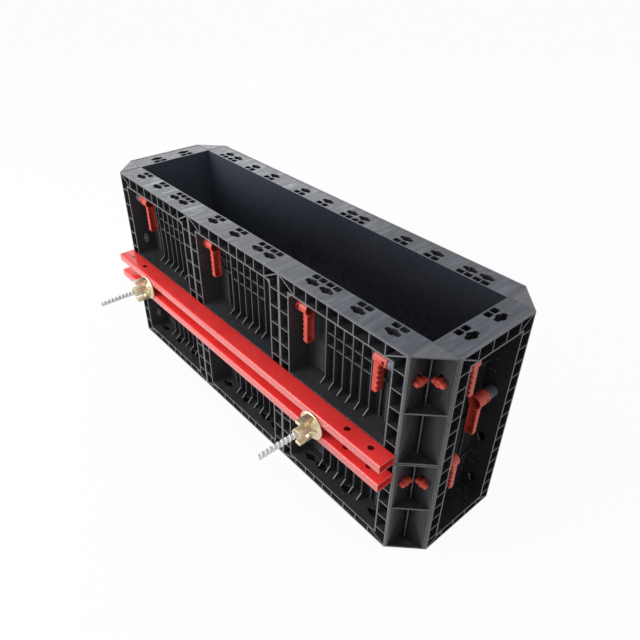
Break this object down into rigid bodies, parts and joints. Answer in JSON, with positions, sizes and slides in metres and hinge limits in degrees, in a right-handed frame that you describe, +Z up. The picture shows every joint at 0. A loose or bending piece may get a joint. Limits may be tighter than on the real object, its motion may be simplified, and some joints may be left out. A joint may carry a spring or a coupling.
{
  "type": "plastic column formwork",
  "caption": "Modular plastic column form: ribbed black panels, open corner pieces, quarter-turn locking handles and red steel walers held by tie rods with wing nuts.",
  "frame": {"origin": "floor level in the middle of the form", "axes": "+X along the long sides, towards the end seen at the right of the picture; +Y through the form from the seen long side to the far one; +Z up"},
  "size_m": [1.344, 0.814, 0.6],
  "materials": {
    "black_plastic": "moulded, slightly glossy, scuffed",
    "red_plastic": "moulded, satin",
    "red_paint": "gloss paint",
    "rod_steel": "rolled, bright",
    "zinc_yellow": "cast, yellow zinc",
    "grey_plastic": "moulded, satin"
  },
  "bodies": {
    "form": {"panel_front_left_lower": "black_plastic", "panel_front_left_upper": "black_plastic", "panel_front_middle_lower": "black_plastic", "panel_front_middle_upper": "black_plastic", "panel_front_right_lower": "black_plastic", "panel_front_right_upper": "black_plastic", "panel_rear_left_lower": "black_plastic", "panel_rear_left_upper": "black_plastic", "panel_rear_middle_lower": "black_plastic", "panel_rear_middle_upper": "black_plastic", "panel_rear_right_lower": "black_plastic", "panel_rear_right_upper": "black_plastic", "panel_end_right": "black_plastic", "panel_end_left": "black_plastic", "corner_front_left_lower": "black_plastic", "corner_front_left_upper": "black_plastic", "corner_front_right_lower": "black_plastic", "corner_front_right_upper": "black_plastic", "corner_rear_left_lower": "black_plastic", "corner_rear_left_upper": "black_plastic", "corner_rear_right_lower": "black_plastic", "corner_rear_right_upper": "black_plastic", "waler_front_lower": "red_paint", "waler_front_upper": "red_paint", "waler_rear_lower": "red_paint", "waler_rear_upper": "red_paint", "tie_rod_left": "rod_steel", "tie_rod_right": "rod_steel", "lock_plug_lower": "grey_plastic", "lock_plug_upper": "grey_plastic"},
    "handle_front_1_lower": {"handle_front_1_lower": "red_plastic"},
    "handle_front_2_lower": {"handle_front_2_lower": "red_plastic"},
    "handle_front_3_lower": {"handle_front_3_lower": "red_plastic"},
    "handle_front_4_lower": {"handle_front_4_lower": "red_plastic"},
    "handle_front_1_upper": {"handle_front_1_upper": "red_plastic"},
    "handle_front_2_upper": {"handle_front_2_upper": "red_plastic"},
    "handle_front_3_upper": {"handle_front_3_upper": "red_plastic"},
    "handle_front_4_upper": {"handle_front_4_upper": "red_plastic"},
    "handle_rear_1_lower": {"handle_rear_1_lower": "red_plastic"},
    "handle_rear_2_lower": {"handle_rear_2_lower": "red_plastic"},
    "handle_rear_3_lower": {"handle_rear_3_lower": "red_plastic"},
    "handle_rear_4_lower": {"handle_rear_4_lower": "red_plastic"},
    "handle_rear_1_upper": {"handle_rear_1_upper": "red_plastic"},
    "handle_rear_2_upper": {"handle_rear_2_upper": "red_plastic"},
    "handle_rear_3_upper": {"handle_rear_3_upper": "red_plastic"},
    "handle_rear_4_upper": {"handle_rear_4_upper": "red_plastic"},
    "handle_end_right_1": {"handle_end_right_1": "red_plastic"},
    "handle_end_right_2": {"handle_end_right_2": "red_plastic"},
    "handle_end_right_3": {"handle_end_right_3": "red_plastic"},
    "handle_end_left_1": {"handle_end_left_1": "red_plastic"},
    "handle_end_left_2": {"handle_end_left_2": "red_plastic"},
    "handle_end_left_3": {"handle_end_left_3": "red_plastic"},
    "wing_nut_front_left": {"wing_nut_front_left": "zinc_yellow"},
    "wing_nut_front_right": {"wing_nut_front_right": "zinc_yellow"},
    "wing_nut_rear_left": {"wing_nut_rear_left": "zinc_yellow"},
    "wing_nut_rear_right": {"wing_nut_rear_right": "zinc_yellow"}
  },
  "joints": [
    {"name": "handle_front_1_lower_turn", "type": "hinge", "parent": "form", "child": "handle_front_1_lower", "pos_m": [-0.6, -0.161, 0.223], "axis": [-1, 0, 0], "range_deg": [0, 90]},
    {"name": "handle_front_2_lower_turn", "type": "hinge", "parent": "form", "child": "handle_front_2_lower", "pos_m": [-0.2, -0.161, 0.223], "axis": [-1, 0, 0], "range_deg": [0, 90]},
    {"name": "handle_front_3_lower_turn", "type": "hinge", "parent": "form", "child": "handle_front_3_lower", "pos_m": [0.2, -0.161, 0.223], "axis": [-1, 0, 0], "range_deg": [0, 90]},
    {"name": "handle_front_4_lower_turn", "type": "hinge", "parent": "form", "child": "handle_front_4_lower", "pos_m": [0.6, -0.161, 0.223], "axis": [-1, 0, 0], "range_deg": [0, 90]},
    {"name": "handle_front_1_upper_turn", "type": "hinge", "parent": "form", "child": "handle_front_1_upper", "pos_m": [-0.6, -0.161, 0.523], "axis": [-1, 0, 0], "range_deg": [0, 90]},
    {"name": "handle_front_2_upper_turn", "type": "hinge", "parent": "form", "child": "handle_front_2_upper", "pos_m": [-0.2, -0.161, 0.523], "axis": [-1, 0, 0], "range_deg": [0, 90]},
    {"name": "handle_front_3_upper_turn", "type": "hinge", "parent": "form", "child": "handle_front_3_upper", "pos_m": [0.2, -0.161, 0.523], "axis": [-1, 0, 0], "range_deg": [0, 90]},
    {"name": "handle_front_4_upper_turn", "type": "hinge", "parent": "form", "child": "handle_front_4_upper", "pos_m": [0.6, -0.161, 0.523], "axis": [-1, 0, 0], "range_deg": [0, 90]},
    {"name": "handle_rear_1_lower_turn", "type": "hinge", "parent": "form", "child": "handle_rear_1_lower", "pos_m": [0.6, 0.161, 0.223], "axis": [1, 0, 0], "range_deg": [0, 90]},
    {"name": "handle_rear_2_lower_turn", "type": "hinge", "parent": "form", "child": "handle_rear_2_lower", "pos_m": [0.2, 0.161, 0.223], "axis": [1, 0, 0], "range_deg": [0, 90]},
    {"name": "handle_rear_3_lower_turn", "type": "hinge", "parent": "form", "child": "handle_rear_3_lower", "pos_m": [-0.2, 0.161, 0.223], "axis": [1, 0, 0], "range_deg": [0, 90]},
    {"name": "handle_rear_4_lower_turn", "type": "hinge", "parent": "form", "child": "handle_rear_4_lower", "pos_m": [-0.6, 0.161, 0.223], "axis": [1, 0, 0], "range_deg": [0, 90]},
    {"name": "handle_rear_1_upper_turn", "type": "hinge", "parent": "form", "child": "handle_rear_1_upper", "pos_m": [0.6, 0.161, 0.523], "axis": [1, 0, 0], "range_deg": [0, 90]},
    {"name": "handle_rear_2_upper_turn", "type": "hinge", "parent": "form", "child": "handle_rear_2_upper", "pos_m": [0.2, 0.161, 0.523], "axis": [1, 0, 0], "range_deg": [0, 90]},
    {"name": "handle_rear_3_upper_turn", "type": "hinge", "parent": "form", "child": "handle_rear_3_upper", "pos_m": [-0.2, 0.161, 0.523], "axis": [1, 0, 0], "range_deg": [0, 90]},
    {"name": "handle_rear_4_upper_turn", "type": "hinge", "parent": "form", "child": "handle_rear_4_upper", "pos_m": [-0.6, 0.161, 0.523], "axis": [1, 0, 0], "range_deg": [0, 90]},
    {"name": "handle_end_right_1_turn", "type": "hinge", "parent": "form", "child": "handle_end_right_1", "pos_m": [0.636, -0.125, 0.223], "axis": [0, -1, 0], "range_deg": [0, 90]},
    {"name": "handle_end_right_2_turn", "type": "hinge", "parent": "form", "child": "handle_end_right_2", "pos_m": [0.636, -0.125, 0.523], "axis": [0, -1, 0], "range_deg": [0, 90]},
    {"name": "handle_end_right_3_turn", "type": "hinge", "parent": "form", "child": "handle_end_right_3", "pos_m": [0.636, 0.125, 0.377], "axis": [0, -1, 0], "range_deg": [0, 90]},
    {"name": "handle_end_left_1_turn", "type": "hinge", "parent": "form", "child": "handle_end_left_1", "pos_m": [-0.636, 0.125, 0.223], "axis": [0, 1, 0], "range_deg": [0, 90]},
    {"name": "handle_end_left_2_turn", "type": "hinge", "parent": "form", "child": "handle_end_left_2", "pos_m": [-0.636, 0.125, 0.523], "axis": [0, 1, 0], "range_deg": [0, 90]},
    {"name": "handle_end_left_3_turn", "type": "hinge", "parent": "form", "child": "handle_end_left_3", "pos_m": [-0.636, -0.125, 0.377], "axis": [0, 1, 0], "range_deg": [0, 90]},
    {"name": "wing_nut_front_left_spin", "type": "hinge", "parent": "form", "child": "wing_nut_front_left", "pos_m": [-0.4175, -0.247, 0.287], "axis": [0, -1, 0], "continuous": true},
    {"name": "wing_nut_front_right_spin", "type": "hinge", "parent": "form", "child": "wing_nut_front_right", "pos_m": [0.3825, -0.247, 0.287], "axis": [0, -1, 0], "continuous": true},
    {"name": "wing_nut_rear_left_spin", "type": "hinge", "parent": "form", "child": "wing_nut_rear_left", "pos_m": [-0.4175, 0.247, 0.287], "axis": [0, 1, 0], "continuous": true},
    {"name": "wing_nut_rear_right_spin", "type": "hinge", "parent": "form", "child": "wing_nut_rear_right", "pos_m": [0.3825, 0.247, 0.287], "axis": [0, 1, 0], "continuous": true}
  ]
}
